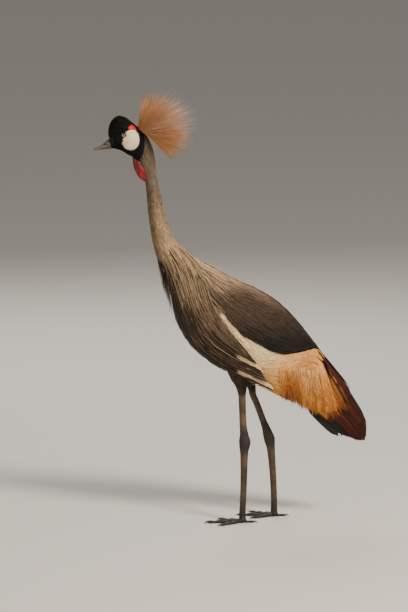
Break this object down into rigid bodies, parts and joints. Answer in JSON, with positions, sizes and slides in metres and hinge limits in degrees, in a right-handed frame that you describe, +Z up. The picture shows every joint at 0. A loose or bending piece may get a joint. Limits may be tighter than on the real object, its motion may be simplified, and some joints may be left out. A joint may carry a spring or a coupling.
{
  "type": "grey crowned crane, life-size still model",
  "caption": "Life-size still model of a standing grey crowned crane with a fan crest, folded wings and long straw-coloured plumes.",
  "frame": {"origin": "on the floor, under the middle of the model's box", "axes": "+Z up, the bird faces -Y, its left side is +X"},
  "size_m": [0.1932, 0.695, 1.0984],
  "materials": {
    "cap_black": "short black velvety feathers",
    "bill_grey": "dark horn, satin",
    "eye": "wet, pale grey-blue iris",
    "cheek_white": "bare white skin",
    "bare_red": "bare red skin, fine folds",
    "crest_gold": "stiff straw-gold bristle feathers",
    "neck_grey": "short pale grey feathers",
    "body_grey": "long grey body plumes",
    "mantle_grey": "dark grey-brown feathers",
    "covert_white": "white and cream feathers",
    "plume_gold": "long straw-gold plumes",
    "chestnut": "dark chestnut flight feathers",
    "quill_black": "black flight feathers",
    "leg_black": "scaled dark skin",
    "claw_black": "dark horn"
  },
  "bodies": {
    "root": {"head": "cap_black", "bill_upper": "bill_grey", "bill_lower": "bill_grey", "eye_left": "eye", "eye_right": "eye", "cheek_left": "cheek_white", "cheek_right": "cheek_white", "red_spot_left": "bare_red", "red_spot_right": "bare_red", "wattle": "bare_red", "crest": "crest_gold", "neck": "neck_grey", "torso": "body_grey", "wing_left_shield": "mantle_grey", "wing_left_coverts": "covert_white", "wing_left_plumes": "plume_gold", "wing_left_secondaries": "chestnut", "wing_left_primaries": "quill_black", "wing_right_shield": "mantle_grey", "wing_right_coverts": "covert_white", "wing_right_plumes": "plume_gold", "wing_right_secondaries": "chestnut", "wing_right_primaries": "quill_black", "tail": "quill_black", "thigh_left": "body_grey", "thigh_right": "body_grey", "tibia_left": "leg_black", "tibia_right": "leg_black", "tarsus_left": "leg_black", "tarsus_right": "leg_black", "foot_left": "leg_black", "foot_right": "leg_black", "claw_left_inner": "claw_black", "claw_left_middle": "claw_black", "claw_left_outer": "claw_black", "claw_left_hind": "claw_black", "claw_right_inner": "claw_black", "claw_right_middle": "claw_black", "claw_right_outer": "claw_black", "claw_right_hind": "claw_black"}
  },
  "joints": []
}
